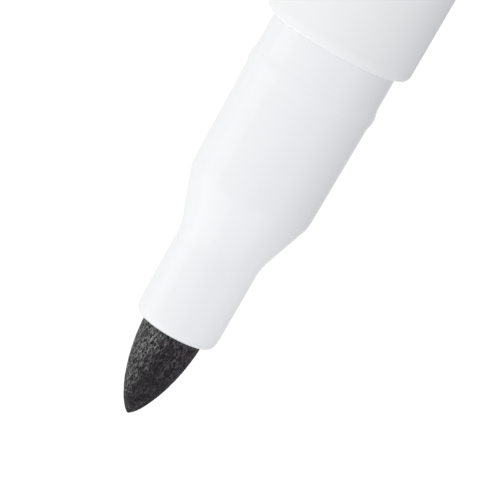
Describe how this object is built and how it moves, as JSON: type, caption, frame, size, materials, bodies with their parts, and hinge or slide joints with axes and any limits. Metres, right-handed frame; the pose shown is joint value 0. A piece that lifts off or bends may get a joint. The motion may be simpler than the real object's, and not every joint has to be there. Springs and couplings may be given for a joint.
{
  "type": "whiteboard marker",
  "caption": "Round whiteboard marker with a bullet fibre nib, stepped nose section, fibre reservoir and a pull-off cap pushed on its tail.",
  "frame": {"origin": "centre of the flat crown of the cap, which is pushed on the tail, so the marker stands on it", "axes": "+Z along the marker's axis, from the cap's crown to the nib; +X and +Y are two equal directions across it"},
  "size_m": [0.015, 0.015, 0.1643],
  "materials": {
    "cap_black": "glossy moulded, ink colour",
    "liner_natural": "natural, waxy",
    "disc_black": "fine satin, ink colour",
    "plug_black": "satin moulded",
    "barrel_white": "satin moulded, neutral white",
    "label_white": "glossy printed film",
    "core_fibre": "bonded fibre soaked with ink",
    "film_clear": "thin translucent film",
    "section_white": "glossy moulded, faintly bluish white",
    "nib_black": "pressed fibre soaked with black ink"
  },
  "bodies": {
    "cap": {"cap_shell": "cap_black", "inner_cap": "liner_natural", "crown_disc": "disc_black"},
    "marker": {"tail_plug": "plug_black", "barrel": "barrel_white", "label_sleeve": "label_white", "reservoir_core": "core_fibre", "reservoir_film": "film_clear", "nose_section": "section_white", "nib": "nib_black"}
  },
  "joints": [
    {"name": "cap_pull", "type": "slide", "parent": "cap", "child": "marker", "axis": [0, 0, 1], "range_m": [0, 0.014]}
  ]
}
